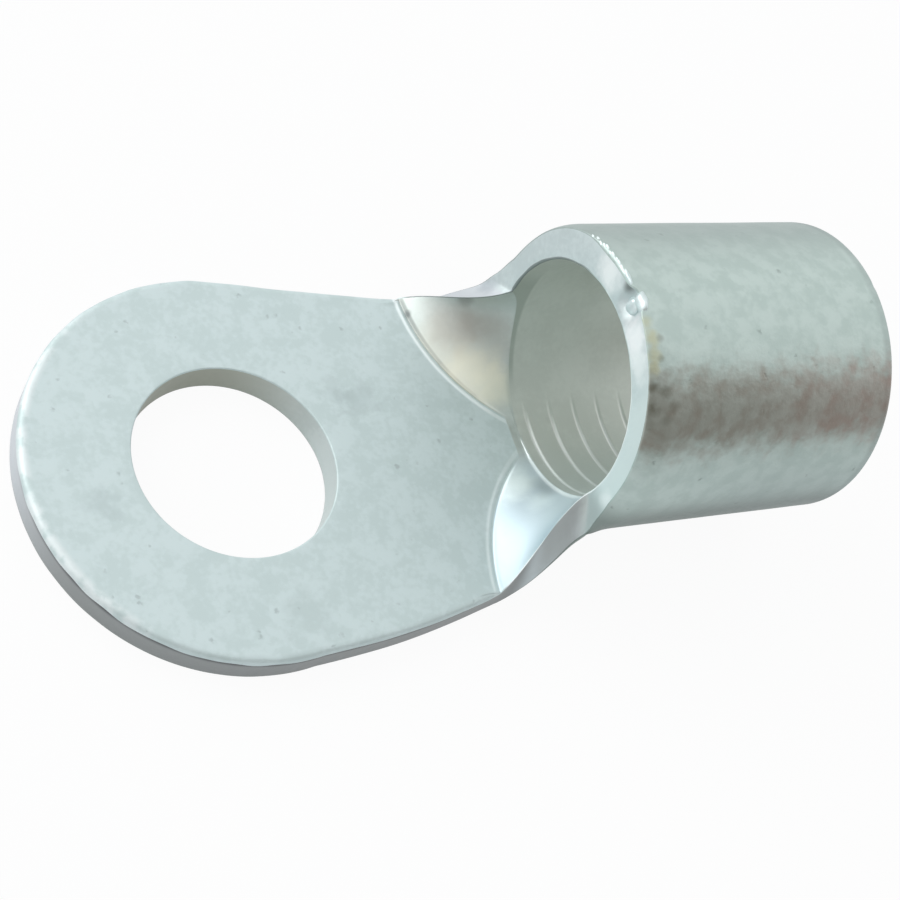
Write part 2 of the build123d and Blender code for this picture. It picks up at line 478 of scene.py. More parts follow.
# %% Join a border to its twin with two rounded corners and a wall
def make_room(skin, paths, radius):
    """Slides each path into its face, so that it starts one radius away from the border."""
    points = np.array([skin.at(ids) for ids in paths])
    step = np.linalg.norm(np.diff(points, axis=0), axis=2)
    away = np.concatenate([np.zeros((1, len(radius))), np.cumsum(step, axis=0)])
    target = radius + (1 - radius / away[-1]) * away
    for column, ids in enumerate(paths.T):
        old, new = away[:, column], target[:, column]
        moved = [np.interp(new, old, points[:, column, axis]) for axis in range(3)]
        skin.put(ids, np.stack(moved, axis=1))


def corner(start, edge, end):
    """Points of a rounded corner, from the face to the wall."""
    t = np.linspace(0, 1, corner_steps + 1)[None, :, None]
    start, edge, end = (p[:, None] for p in (start, edge, end))
    return start * (1 - t) ** 2 + edge * 2 * t * (1 - t) + end * t**2


def join(skin, inner_paths, outer_paths, inner_radius, outer_radius, finishes):
    """Rounds both edges and lays the wall between; finishes go inner corner, wall, outer corner."""
    a, b = skin.at(inner_paths[0]), skin.at(outer_paths[0])
    across = unit(b - a)
    make_room(skin, inner_paths, inner_radius)
    make_room(skin, outer_paths, outer_radius)
    top = corner(skin.at(inner_paths[0]), a, a + across * inner_radius[:, None])
    bottom = corner(skin.at(outer_paths[0]), b, b - across * outer_radius[:, None])[:, ::-1]
    t = np.linspace(0, 1, wall_steps + 1)[None, 1:-1, None]
    wall = top[:, -1:] + (bottom[:, :1] - top[:, -1:]) * t
    between = np.concatenate([top[:, 1:], wall, bottom[:, :-1]], axis=1)
    travelled = np.cumsum(np.linalg.norm(np.diff(between, axis=1), axis=2), axis=1)
    share = np.concatenate([np.zeros((len(a), 1)), travelled / travelled[:, -1:]], axis=1)
    ids = skin.lay(between, across=share)
    whole = np.concatenate([inner_paths[0][:, None], ids, outer_paths[0][:, None]], axis=1)
    cuts = (0, corner_steps, corner_steps + wall_steps, whole.shape[1] - 1)
    for finish, start, end in zip(finishes, cuts, cuts[1:]):
        skin.cover(whole[:, start : end + 1], finish, closed=True)


# %% Close the three borders
braze_fill = {"turn": 74, "spread": 13, "extra": 0.22 * mm}


def same(face, radius):
    return np.full(len(face), radius)


border_y, border_z = skin.at(free_paths(outer)[0])[:, 1:].T
off_fill = (np.degrees(np.arctan2(border_z - axis_z, border_y)) - braze_fill["turn"]) / braze_fill["spread"]
rolled = radii(blank=0.38 * mm, wing=0.10 * mm, rim=0.14 * mm)
rolled *= wander(waves=range(9, 60, 4), share=0.10, seed=4)
burred = radii(blank=0.12 * mm, wing=0.12 * mm, rim=0.07 * mm)
burred += braze_fill["extra"] * np.exp(-(off_fill**2))
burred *= wander(waves=range(5, 60, 5), share=0.12, seed=8)
join(skin, free_paths(inner), free_paths(outer), rolled, burred, ("tongue_tin", "edge_tin", "barrel_tin"))
hole_paths = [face["tongue"][:, :path_depth].T for face in (inner, outer)]
hole_radii = (same(inner["tongue"], 0.1 * mm), same(outer["tongue"], 0.06 * mm))
join(skin, *hole_paths, *hole_radii, ("tongue_tin", "hole_tin", "barrel_tin"))
rear_paths = [face["tube"][:, ::-1][:, :path_depth].T for face in (inner, outer)]
rear_radii = (same(inner["tube"], 0.2 * mm), same(outer["tube"], 0.17 * mm))
join(skin, *rear_paths, *rear_radii, ("bore_tin", "edge_tin", "barrel_tin"))
print("points", len(skin.points), "quads", len(skin.faces))


# %% [markdown]
# ## The coined fold, the seam and its nick
# The fold is struck sharp: a fine ridge stands on the flat side of it and a fine furrow
# runs on the wing side, deeper on the far wing. The brazed seam sinks a little along the
# top of the barrel and ends in a nick in the outer part of the rim. These move points that
# are there already.

# %% Strike the fold
ridge = {"place": 0.22 * mm, "reach": 0.10 * mm, "height": 0.034 * mm}
furrow = {"place": 0.10 * mm, "reach": 0.07 * mm, "height": -0.030 * mm}
struck_share = {"far": 1.7, "near": 1.0}
crest = {"reach": 0.12 * mm, "near": 0.032 * mm, "far": -0.015 * mm, "rows": 6}


def raise_beside(skin, ids, origin, towards, height, place, reach):
    """Raises points towards a direction, most at one distance from the origin of their column."""
    for row in ids.T:
        points = skin.at(row)
        away = np.linalg.norm(points - origin, axis=1)
        lift = height * np.exp(-(((away - place) / reach) ** 2))
        skin.put(row, points + towards * lift[:, None])


def strike_fold(skin, face):
    """Raises the ridge beside the fold and sinks the furrow on the wing."""
    origin = skin.at(face["tongue"][:throat_columns, -1])
    share = np.where(origin[:, 1] > 0, struck_share["far"], struck_share["near"])
    struck = np.clip((np.abs(origin[:, 1]) - tip_half) / tip_half, 0, 1) * share
    for ids, dent in ((face["tongue"][:throat_columns], ridge), (face["throat"], furrow)):
        height = struck * dent["height"]
        raise_beside(skin, ids, origin, np.array([0, 0, 1]), height, dent["place"], dent["reach"])


def lift_crease(skin, face):
    """Leaves a fine crest where the near wing turns into the bore, and a dent at the far one."""
    origin = skin.at(face["tube"][:throat_columns, 0])
    from_border = np.minimum(np.arange(throat_columns), np.arange(throat_columns)[::-1])
    height = np.where(origin[:, 1] < 0, crest["near"], crest["far"])
    height = height * np.clip(from_border / path_depth, 0, 1)
    rows = crest["rows"]
    for ids in (face["throat"][:, -rows:-1], face["tube"][:throat_columns, :rows]):
        raise_beside(skin, ids, origin, -from_axis(origin), height, 0, crest["reach"])


strike_fold(skin, inner)
lift_crease(skin, inner)

# %% Sink the seam and nick the rim
seam = {"reach": 0.2 * mm, "depth": 0.03 * mm, "from_share": 0.7}
nick = {"centre": -0.20 * mm, "reach": 0.62 * mm, "depth": 0.36 * mm, "into": 0.6 * mm}
nick_share = {"starts": 0.15, "grows_over": 0.35}


def sink_seam(skin):
    """Lowers the outside along the top line, and pushes the rim's outer part back at the nick."""
    points = np.array(skin.points)
    on_top = points[:, 2] > axis_z
    depth_in_sheet = (np.hypot(points[:, 1], points[:, 2] - axis_z) - bore_r) / sheet
    outside = depth_in_sheet > seam["from_share"]
    line = np.exp(-((points[:, 1] / seam["reach"]) ** 2)) * on_top * outside
    points[:, 2] -= seam["depth"] * line
    near_rim = np.clip(1 - (points[:, 0] - rim_x) / nick["into"], 0, 1) * (points[:, 0] > rim_x - mm)
    near_rim *= np.clip((depth_in_sheet - nick_share["starts"]) / nick_share["grows_over"], 0, 1)
    dent = np.exp(-(((points[:, 1] - nick["centre"]) / nick["reach"]) ** 4)) * on_top * near_rim
    points[:, 0] += nick["depth"] * dent
    skin.points = list(points)
    print("deepest nick", round(float((nick["depth"] * dent).max() / mm), 2), "mm")


sink_seam(skin)

# %% Make the mesh, with faces turned outwards
import bmesh


def add_object(name, data):
    """A new object in the scene."""
    made = bpy.data.objects.new(name, data)
    bpy.context.scene.collection.objects.link(made)
    return made


def closed_mesh(name, points, faces, finishes):
    """A mesh whose normals face outwards, smooth, with one finish number per face."""
    mesh = bpy.data.meshes.new(name)
    mesh.from_pydata([tuple(p) for p in points], [], faces)
    mesh.polygons.foreach_set("material_index", finishes)
    shape = bmesh.new()
    shape.from_mesh(mesh)
    bmesh.ops.recalc_face_normals(shape, faces=shape.faces)
    open_edges = sum(1 for edge in shape.edges if not edge.is_manifold)
    volume = round(shape.calc_volume() / mm**3, 1)
    print(name, "faces", len(shape.faces), "open edges", open_edges, "volume mm3", volume)
    shape.to_mesh(mesh)
    shape.free()
    mesh.shade_smooth()
    return mesh


lug = add_object("tinned_lug", closed_mesh("tinned_lug", skin.points, skin.faces, skin.finishes))


# %% [markdown]
# ## Serrations and an uneven sheet, with Geometry Nodes
# The serrations repeat along the bore, and rolled and tinned sheet is never quite even.
# Both follow a rule over the surface, so a node tree moves the points: it measures how
# far each point lies from the nearest serration, and pushes it in against its normal.

# %% Small helpers for node trees
def feed(tree, socket, value):
    """Links an output to the socket, or sets its value."""
    if isinstance(value, bpy.types.NodeSocket):
        tree.links.new(value, socket)
    else:
        socket.default_value = value


def add_node(tree, kind, settings=None, **inputs):
    """A node with its settings, and the values or links of its named or numbered inputs."""
    node = tree.nodes.new(kind)
    for key, value in (settings or {}).items():
        setattr(node, key, value)
    for key, value in inputs.items():
        numbered = key[0] == "i" and key[1:].isdigit()
        feed(tree, node.inputs[int(key[1:]) if numbered else key.replace("_", " ")], value)
    return node


def math_node(tree, operation, a, b=0.0, c=0.0, clamp=False):
    settings = {"operation": operation, "use_clamp": clamp}
    return add_node(tree, "ShaderNodeMath", settings, i0=a, i1=b, i2=c).outputs[0]


def vector_node(tree, operation, **inputs):
    return add_node(tree, "ShaderNodeVectorMath", {"operation": operation}, **inputs).outputs


def times(tree, first, *factors):
    """The product of values and outputs."""
    for factor in factors:
        first = math_node(tree, "MULTIPLY", first, factor)
    return first


def less(tree, a, b):
    return math_node(tree, "SUBTRACT", a, b)


def apart(tree, a, b):
    return math_node(tree, "ABSOLUTE", less(tree, a, b))


def smooth(tree, value, start, end, low_value=0.0, high_value=1.0):
    """A value that turns smoothly from low_value at start to high_value at end."""
    ramp = {"i0": value, "i1": start, "i2": end, "i3": low_value, "i4": high_value}
    return add_node(tree, "ShaderNodeMapRange", {"interpolation_type": "SMOOTHSTEP"}, **ramp).outputs[0]


def parts_of(tree, place):
    """The x, y and z of a place."""
    return add_node(tree, "ShaderNodeSeparateXYZ", i0=place).outputs


# %% The tree that presses the serrations and makes the sheet uneven
def geometry_tree(name, numbers, whole_numbers=()):
    """An empty geometry tree with named inputs, and those inputs to link from."""
    tree = bpy.data.node_groups.new(name, "GeometryNodeTree")
    sockets = [("Geometry", "Geometry")]
    sockets += [(label, "Float") for label in numbers] + [(label, "Int") for label in whole_numbers]
    for label, kind in sockets:
        tree.interface.new_socket(label, in_out="INPUT", socket_type="NodeSocket" + kind)
    tree.interface.new_socket("Geometry", in_out="OUTPUT", socket_type="NodeSocketGeometry")
    return tree, add_node(tree, "NodeGroupInput").outputs


def hand_out(tree, geometry, material, selection=True):
    """Makes the geometry real, gives it its material, and passes it out of the tree."""
    real = add_node(tree, "GeometryNodeRealizeInstances", Geometry=geometry).outputs[0]
    chosen = {"Geometry": real, "Selection": selection, "Material": material}
    painted = add_node(tree, "GeometryNodeSetMaterial", **chosen).outputs[0]
    add_node(tree, "NodeGroupOutput", Geometry=painted)


def from_serration(tree, x, first, pitch, last_number, first_number=0.0):
    """How far a place lies from the nearest serration, in steps of their pitch."""
    steps = math_node(tree, "DIVIDE", less(tree, x, first), pitch)
    nearest = math_node(tree, "MINIMUM", math_node(tree, "ROUND", steps), last_number)
    return apart(tree, steps, math_node(tree, "MAXIMUM", nearest, first_number))


def pressing_tree(bore_material):
    sizes = ["First place", "Pitch", "Last number", "Half width", "Depth", "Bite start", "Bite end"]
    tree, given = geometry_tree("Press the serrations", sizes + ["Unevenness", "Patch scale", "Seed"])
    place = add_node(tree, "GeometryNodeInputPosition").outputs[0]
    normal = add_node(tree, "GeometryNodeInputNormal").outputs[0]
    x, y, _ = parts_of(tree, place)
    steps = from_serration(tree, x, given["First place"], given["Pitch"], given["Last number"])
    away = math_node(tree, "DIVIDE", times(tree, steps, given["Pitch"]), given["Half width"])
    profile = math_node(tree, "SUBTRACT", 1.0, away, clamp=True)
    kind = {"data_type": "FLOAT"}
    bore = add_node(tree, "GeometryNodeInputNamedAttribute", kind, Name="bore").outputs[0]
    bite = smooth(tree, y, given["Bite start"], given["Bite end"], 1.0, 0.0)
    cut = times(tree, profile, given["Depth"], bore, bite)
    waves = add_node(
        tree, "ShaderNodeTexNoise", {"noise_dimensions": "4D"},
        Vector=place, W=given["Seed"], Scale=given["Patch scale"], Detail=2.0,
    ).outputs[0]
    inward = times(tree, math_node(tree, "ADD", cut, times(tree, waves, given["Unevenness"])), -1.0)
    offset = vector_node(tree, "SCALE", i0=normal, Scale=inward)[0]
    moved = add_node(tree, "GeometryNodeSetPosition", Geometry=given["Geometry"], Offset=offset)
    hand_out(tree, moved.outputs[0], bore_material, math_node(tree, "GREATER_THAN", bore, 0.5))
    return tree


def settle(obj, tree, values):
    """Adds the tree with its inputs set, and keeps its result as the object's plain mesh."""
    modifier = obj.modifiers.new(tree.name, "NODES")
    modifier.node_group = tree
    for socket in tree.interface.items_tree:
        if socket.in_out == "INPUT" and socket.name in values:
            modifier[socket.identifier] = values[socket.name]
    evaluated = obj.evaluated_get(bpy.context.evaluated_depsgraph_get())
    mesh = bpy.data.meshes.new_from_object(evaluated)
    obj.modifiers.clear()
    obj.data = mesh


# %% Mark the bore, then press it
def mark_points(name, values):
    """Keeps one number per point of the lug, for node trees to read."""
    lug.data.attributes.new(name, "FLOAT", "POINT").data.foreach_set("value", values)


finishes = {name: bpy.data.materials.new(name) for name in finish_names}
for name in finish_names:
    lug.data.materials.append(finishes[name])
on_bore = np.zeros(len(skin.points), np.float32)
on_bore[inner["tube"][:, 1:-1].ravel()] = 1
mark_points("bore", on_bore)
mark_points("across", np.array(skin.across, np.float32))
settle(lug, pressing_tree(finishes["bore_tin"]), {
    "First place": serration["first"], "Pitch": serration["pitch"], "Last number": serration["count"] - 1.0,
    "Half width": serration["half_width"], "Depth": serration["depth"],
    "Bite start": 0.4 * mm, "Bite end": 2.4 * mm,
    "Unevenness": 0.03 * mm, "Patch scale": 260.0, "Seed": 3.0,
})
print("materials", [m.name for m in lug.data.materials], "faces", len(lug.data.polygons))


# %% [markdown]
# ## Finishes
# Tin over copper is a satin, slightly green grey, and each part of the lug has had its own
# treatment: the tongue is as rolled, the wings are burnished by the folding tool, the barrel
# is scuffed, and the cut edges are sheared. We build the effects that they share as node
# groups, and give each finish its own values. Several finishes also carry painted
# highlights, painted shade and painted reflections in their colour.

# %% A shader group for the mottle of tinned metal
def group_tree(name, vectors, numbers, outputs):
    """An empty shader group with named sockets, and its inputs to link from."""
    tree = bpy.data.node_groups.new(name, "ShaderNodeTree")
    for label in vectors:
        tree.interface.new_socket(label, in_out="INPUT", socket_type="NodeSocketVector")
    for label, value in numbers.items():
        socket = tree.interface.new_socket(label, in_out="INPUT", socket_type="NodeSocketFloat")
        socket.default_value = value
    for label in outputs:
        tree.interface.new_socket(label, in_out="OUTPUT", socket_type="NodeSocketFloat")
    return tree, add_node(tree, "NodeGroupInput").outputs


def noise(tree, vector, scale, detail):
    return add_node(tree, "ShaderNodeTexNoise", Vector=vector, Scale=scale, Detail=detail).outputs


def mottle_group():
    """Cloudy patches, fine grain and small dark pits, each as a value from 0 to 1."""
    numbers = {"Cloud scale": 300.0, "Grain scale": 3200.0, "Pit scale": 900.0, "Pit share": 0.25}
    tree, given = group_tree("Tin mottle", ["Vector"], numbers, ["Clouds", "Grain", "Pits", "Height"])
    clouds = noise(tree, given["Vector"], given["Cloud scale"], 6.0)[0]
    grain = noise(tree, given["Vector"], given["Grain scale"], 3.0)
    jitter = vector_node(tree, "SCALE", i0=grain["Color"], Scale=0.45 * mm)[0]
    bent = vector_node(tree, "ADD", i0=given["Vector"], i1=jitter)[0]
    dots = add_node(tree, "ShaderNodeTexVoronoi", Vector=bent, Scale=given["Pit scale"]).outputs
    pick = add_node(tree, "ShaderNodeSeparateColor", i0=dots["Color"]).outputs[0]
    size = times(tree, less(tree, given["Pit share"], pick), 1.3)
    pits = smooth(tree, less(tree, size, dots["Distance"]), 0.0, 0.22)
    height = math_node(tree, "MULTIPLY_ADD", clouds, 2.0, grain[0])
    height = math_node(tree, "MULTIPLY_ADD", pits, -0.6, height)
    add_node(tree, "NodeGroupOutput", Clouds=clouds, Grain=grain[0], Pits=pits, Height=height)
    return tree


tin_mottle = mottle_group()


# %% A shader group for a stripe along the barrel
def raggedness(tree, given, detail):
    """A random swing round 0, as wide as the group's Ragged input asks."""
    waves = noise(tree, given["Vector"], given["Ragged scale"], detail)[0]
    return times(tree, less(tree, waves, 0.5), given["Ragged"])


def stripe_group():
    """How near a point's turn round the barrel is to a chosen angle, with a ragged border."""
    numbers = {"Angle": 0.0, "Half width": 0.2, "Softness": 0.1, "Ragged": 0.1, "Ragged scale": 500.0}
    tree, given = group_tree("Stripe along the barrel", ["Vector"], numbers, ["Mask"])
    _, y, z = parts_of(tree, given["Vector"])
    turn = math_node(tree, "ARCTAN2", less(tree, z, axis_z), times(tree, y, -1.0))
    turn = math_node(tree, "ADD", turn, raggedness(tree, given, 5.0))
    limit = math_node(tree, "ADD", given["Half width"], given["Softness"])
    mask = smooth(tree, apart(tree, turn, given["Angle"]), given["Half width"], limit, 1.0, 0.0)
    add_node(tree, "NodeGroupOutput", Mask=mask)
    return tree


barrel_stripe = stripe_group()


# %% A shader group for a patch round one place
def patch_group():
    """A ragged patch, 1 at its centre and 0 beyond its reach."""
    numbers = {"Reach": 1.0 * mm, "Ragged": 1.4, "Ragged scale": 900.0}
    tree, given = group_tree("Round patch", ["Vector", "Centre"], numbers, ["Mask"])
    away = vector_node(tree, "DISTANCE", i0=given["Vector"], i1=given["Centre"])["Value"]
    share = math_node(tree, "DIVIDE", away, given["Reach"])
    ragged = math_node(tree, "ADD", raggedness(tree, given, 4.0), share)
    add_node(tree, "NodeGroupOutput", Mask=smooth(tree, ragged, 0.15, 1.0, 1.0, 0.0))
    return tree


round_patch = patch_group()


# %% The colour of a finish, laid shade by shade
def use_group(tree, group, **inputs):
    return add_node(tree, "ShaderNodeGroup", {"node_tree": group}, **inputs).outputs


def mix_colour(tree, share, a, b):
    """A mix of two colours; a colour is three numbers or an output."""
    a, b = (c + (1.0,) if isinstance(c, tuple) else c for c in (a, b))
    return add_node(tree, "ShaderNodeMix", {"data_type": "RGBA"}, i0=share, i6=a, i7=b).outputs[2]


class Paint:
    """The colour of a finish while shades are laid over it; ramps and stains are given in mm."""

    def __init__(self, tree, place, mottle, colour):
        self.tree = tree
        self.place = place
        self.mottle = mottle
        self.colour = colour
        self.x, self.y, self.z = parts_of(tree, place)

    def ramp(self, value, start, end, low_value=0.0, high_value=1.0):
        return smooth(self.tree, value, start * mm, end * mm, low_value, high_value)

    def lay(self, shade, *masks):
        """Lays a shade as strongly as the product of its masks."""
        self.colour = mix_colour(self.tree, times(self.tree, *masks), self.colour, shade)

    # Lays real marks of dirt and tarnish, and also painted highlights and painted shade.
    def lay_stains_and_painted_light(self, patches, **ragged):
        """Lays each (centre, reach, share, shade) as a ragged round patch."""
        for centre, reach, share, shade in patches:
            spot = {"Centre": tuple(c * mm for c in centre), "Reach": reach * mm, **ragged}
            self.lay(shade, use_group(self.tree, round_patch, Vector=self.place, **spot)["Mask"], share)

    def from_above(self, x, y):
        """The length of (x, y), measured flat."""
        flat = add_node(self.tree, "ShaderNodeCombineXYZ", X=x, Y=y).outputs[0]
        return vector_node(self.tree, "LENGTH", i0=flat)["Value"]

    def beside_fold(self):
        """How far a point lies outside the arc of its fold, from above: more than 0 on the flat."""
        side = math_node(self.tree, "ABSOLUTE", self.y)
        off_centre = less(self.tree, self.x, fold_centre_x), less(self.tree, side, fold_square_y)
        return less(self.tree, self.from_above(*off_centre), fold_r)


# %% One recipe for tinned metal, mixed for each finish
def cleared_tree(owner):
    """The empty node tree of a material or a world."""
    owner.use_nodes = True
    owner.node_tree.nodes.clear()
    return owner.node_tree


def tinned(
    name, pale, dark, metallic, rough, rough_spread, relief,
    cloud_scale=300.0, pits=0.5, pit_scale=900.0, tint=None,
):
    """Satin tin: clouds and grain between two greys, pits, and a roughness that follows the grain."""
    tree = cleared_tree(finishes[name])
    place = add_node(tree, "ShaderNodeTexCoord").outputs["Object"]
    mottle = use_group(tree, tin_mottle, Vector=place, Cloud_scale=cloud_scale, Pit_scale=pit_scale)
    cloudy = math_node(tree, "MULTIPLY_ADD", mottle["Grain"], 0.5, mottle["Clouds"])
    paint = Paint(tree, place, mottle, mix_colour(tree, smooth(tree, cloudy, 0.60, 0.90), dark, pale))
    paint.lay(tuple(0.6 * c for c in dark), mottle["Pits"], pits)
    if tint:
        tint(paint)
    roughness = math_node(tree, "MULTIPLY_ADD", mottle["Grain"], rough_spread, rough - rough_spread / 2)
    bump = add_node(tree, "ShaderNodeBump", Strength=1.0, Distance=relief, Height=mottle["Height"])
    shader = add_node(
        tree, "ShaderNodeBsdfPrincipled", Base_Color=paint.colour, Metallic=metallic,
        Roughness=roughness, Normal=bump.outputs[0],
    )
    add_node(tree, "ShaderNodeOutputMaterial", Surface=shader.outputs[0])


# %% The tongue
def smudges_and_painted_light(paint):
    """Smudges, a painted highlight on the rolled edge at the ring's end, a painted highlight along the
    ridge by the folds, and painted shade on the far wing's inner corner with a painted highlight on the
    near one.
    """
    smudge = (0.42, 0.50, 0.50)
    paint.lay_stains_and_painted_light([
        ((7.9, 2.8, 1.8), 1.7, 0.28, smudge),
        ((6.6, 3.4, 1.8), 1.1, 0.22, smudge),
        ((-7.2, -1.8, 1.8), 1.2, 0.25, smudge),
        ((1.5, -8.3, 1.8), 1.8, 0.15, (0.44, 0.52, 0.51)),
    ], Ragged=2.6, Ragged_scale=1300.0)
    # Painted highlight: a patchy pale band on the rolled edge at the ring's end away from the barrel.
    ring = ring_r / mm
    at_ring = paint.ramp(paint.from_above(paint.x, paint.y), ring - 0.6, ring - 0.25)
    patchy = smooth(paint.tree, paint.mottle["Clouds"], 0.42, 0.56)
    paint.lay((0.92, 0.95, 0.95), at_ring, paint.ramp(paint.x, -5, -8.5), patchy, 0.45)
    # Painted highlight along the struck ridge beside the folds.
    away = paint.beside_fold()
    struck = paint.ramp(away, 0.06, 0.16), paint.ramp(away, 0.42, 0.28), paint.ramp(paint.x, 10, 11.5)
    paint.lay((0.93, 1.0, 1.0), *struck, paint.ramp(paint.y, -1, 3, 0.25, 0.75))
    # Painted shade on the far wing's inner corner, and a painted highlight on the near one.
    raised = paint.ramp(paint.z, sheet / mm + 0.1, sheet / mm + 0.5)
    paint.lay((0.22, 0.25, 0.24), raised, paint.ramp(paint.y, 2, 4), 0.85)
    paint.lay((0.95, 0.98, 0.98), raised, paint.ramp(paint.y, -2, -4), 0.7)


tinned(
    "tongue_tin", (0.668, 0.773, 0.773), (0.608, 0.714, 0.708),
    metallic=0.45, rough=0.56, rough_spread=0.14, relief=0.007 * mm,
    cloud_scale=800.0, pit_scale=1700.0, tint=smudges_and_painted_light,
)


# %% The bore
def crest_highlight(paint):
    """A painted highlight: a bright line along the crease between the near wing and the bore."""
    line = paint.ramp(apart(paint.tree, paint.x, rim_x + 0.93 * mm), 0.20, 0.05)
    paint.lay((0.90, 0.96, 0.96), line, paint.ramp(paint.y, 0.8, -0.8), paint.ramp(paint.z, 8, 6), 0.4)


def bore_highlights_and_shade(paint):
    """Painted highlights on the serrations and the rim corner on the near side, painted shade behind the
    far crease, and a darker, bluer near side.
    """
    # Painted highlights along the serrations and the rim corner, strongest on the near side.
    at_rim = -1.0
    places = serration["first"], serration["pitch"], serration["count"] - 1.0, at_rim
    line = smooth(paint.tree, from_serration(paint.tree, paint.x, *places), 0.11, 0.03)
    paint.lay((0.98, 1.0, 0.99), line, paint.ramp(paint.y, 1.8, -0.8, 0.0, 0.9))
    # Painted shade low in the bore behind the far crease.
    rim = rim_x / mm
    behind = paint.ramp(paint.x, rim + 1.35, rim + 1.15), paint.ramp(paint.y, 2.5, 4.0, 0.0, 0.55)
    paint.lay((0.40, 0.46, 0.41), *behind, paint.ramp(paint.z, 9, 7))
    # Darker and bluer towards the near side.
    paint.lay((0.60, 0.70, 0.70), paint.ramp(paint.y, 1, -5, 0.0, 0.5))
    crest_highlight(paint)


tinned(
    "bore_tin", (0.74, 0.78, 0.73), (0.69, 0.73, 0.68),
    metallic=0.80, rough=0.52, rough_spread=0.12, relief=0.004 * mm,
    pits=0.1, tint=bore_highlights_and_shade,
)


# %% The wings, with painted reflections: warm on the far one, blue on the near one
def wing_painted_light_and_spots(paint):
    """A blue near side as painted reflection, painted shade in the furrow beside the far fold, cream and
    brown painted reflections on the far wing, painted highlights on the near wing, and dark spots.
    """
    # Painted reflection: the near wing bluer.
    paint.lay((0.52, 0.65, 0.72), paint.ramp(paint.y, -0.3, -2.5), 0.8)
    # Painted shade in the furrow beside the far fold.
    in_furrow = paint.ramp(paint.beside_fold(), -0.22, -0.15)
    paint.lay((0.36, 0.39, 0.37), in_furrow, paint.ramp(paint.y, 2, 4), 0.75)
    # Below: dark spots at the far neck corner and the far wing's top edge, cream and brown painted
    # reflections on the far wing, painted highlights on the near wing, and a darker blue-grey spot by the
    # near crease.
    cream = (0.92, 0.91, 0.75)
    paint.lay_stains_and_painted_light([
        ((12.2, 7.9, 1.9), 0.35, 0.80, (0.20, 0.22, 0.22)),
        ((14.2, 7.1, 4.7), 0.80, 0.55, (0.22, 0.23, 0.22)),
        ((13.2, 5.6, 2.2), 2.4, 0.35, (0.84, 0.85, 0.72)),
        ((14.6, 4.0, 2.1), 2.4, 0.70, cream),
        ((15.7, 2.8, 2.2), 1.7, 0.60, cream),
        ((13.9, 6.4, 3.2), 2.3, 0.45, (0.40, 0.37, 0.33)),
        ((15.0, 5.8, 4.2), 1.8, 0.35, (0.38, 0.35, 0.31)),
        ((15.0, -2.8, 2.0), 1.9, 0.85, (0.88, 1.00, 1.00)),
        ((15.4, -4.4, 3.0), 1.1, 0.55, (0.80, 0.93, 0.95)),
        ((14.8, -6.6, 5.4), 1.1, 0.80, (0.86, 0.92, 0.94)),
        ((16.4, -3.6, 2.8), 1.3, 0.65, (0.36, 0.44, 0.46)),
    ], Ragged=0.7)
    crest_highlight(paint)


tinned(
    "wing_tin", (0.68, 0.74, 0.71), (0.62, 0.68, 0.65),
    metallic=0.70, rough=0.44, rough_spread=0.12, relief=0.005 * mm,
    pits=0.3, tint=wing_painted_light_and_spots,
)


# %% The barrel, with painted shade, a warm stripe, and tarnish spots behind the rim
def behind_rim(shade, spots):
    """Stains of one shade on the barrel, each from its turn, mm behind the rim, reach and share."""
    patches = []
    for turn, along, reach, share in spots:
        place = on_barrel(rim_x + along * mm, math.radians(turn), barrel_r) / mm
        patches.append((place.tolist(), reach, share, shade))
    return patches


def barrel_shade_and_tarnish(paint):
    """Painted shade below, on the far side and at the rear end, a warm stripe that is partly tarnish and
    partly painted reflection, yellow patches and dark spots.
    """
    # Painted shade: darker on the far side, below, and low towards the rear.
    paint.lay((0.31, 0.37, 0.355), paint.ramp(paint.y, 0.5, 5.5), 0.55)
    paint.lay((0.24, 0.29, 0.27), paint.ramp(paint.z, 9.0, 6.4), 0.9)
    paint.lay((0.24, 0.28, 0.28), paint.ramp(paint.z, 12, 8.5), paint.ramp(paint.x, 18, 25), 0.25)
    # Painted shade along the rear end.
    rear = rear_x / mm
    paint.lay((0.30, 0.36, 0.35), paint.ramp(paint.x, rear - 0.7, rear - 0.35, 0.0, 0.35))
    # A warm stripe: partly tarnish, partly painted reflection of the room.
    stripe = use_group(
        paint.tree, barrel_stripe, Vector=paint.place, Angle=math.radians(45.5), Half_width=0.10,
        Softness=0.27, Ragged=0.45, Ragged_scale=1500.0,
    )["Mask"]
    brown = mix_colour(paint.tree, paint.ramp(paint.x, 20, 30), (0.335, 0.31, 0.27), (0.41, 0.32, 0.285))
    paint.lay(brown, stripe, smooth(paint.tree, paint.mottle["Clouds"], 0.30, 0.60, 0.84, 0.52))
    paint.lay_stains_and_painted_light(behind_rim((0.53, 0.54, 0.36), [
        (101, 0.15, 0.50, 0.60), (107, 0.25, 0.65, 0.70), (113, 0.20, 0.65, 0.70), (118, 0.12, 0.55, 0.80),
    ]), Ragged=1.0, Ragged_scale=1900.0)
    paint.lay_stains_and_painted_light(behind_rim((0.12, 0.11, 0.07), [
        (107, 0.75, 0.30, 0.35), (114, 0.65, 0.28, 0.35), (124, 0.15, 0.55, 0.70),
        (130, 0.14, 0.55, 0.90), (133, 0.14, 0.60, 1.00), (138, 0.15, 0.55, 0.55),
        (126, 0.80, 0.50, 0.40), (131, 1.40, 0.45, 0.25), (136, 0.95, 0.45, 0.25),
    ]), Ragged=0.8, Ragged_scale=1700.0)


tinned(
    "barrel_tin", (0.543, 0.643, 0.613), (0.475, 0.575, 0.545),
    metallic=0.88, rough=0.42, rough_spread=0.2, relief=0.016 * mm,
    cloud_scale=900.0, pits=0.7, pit_scale=1500.0, tint=barrel_shade_and_tarnish,
)
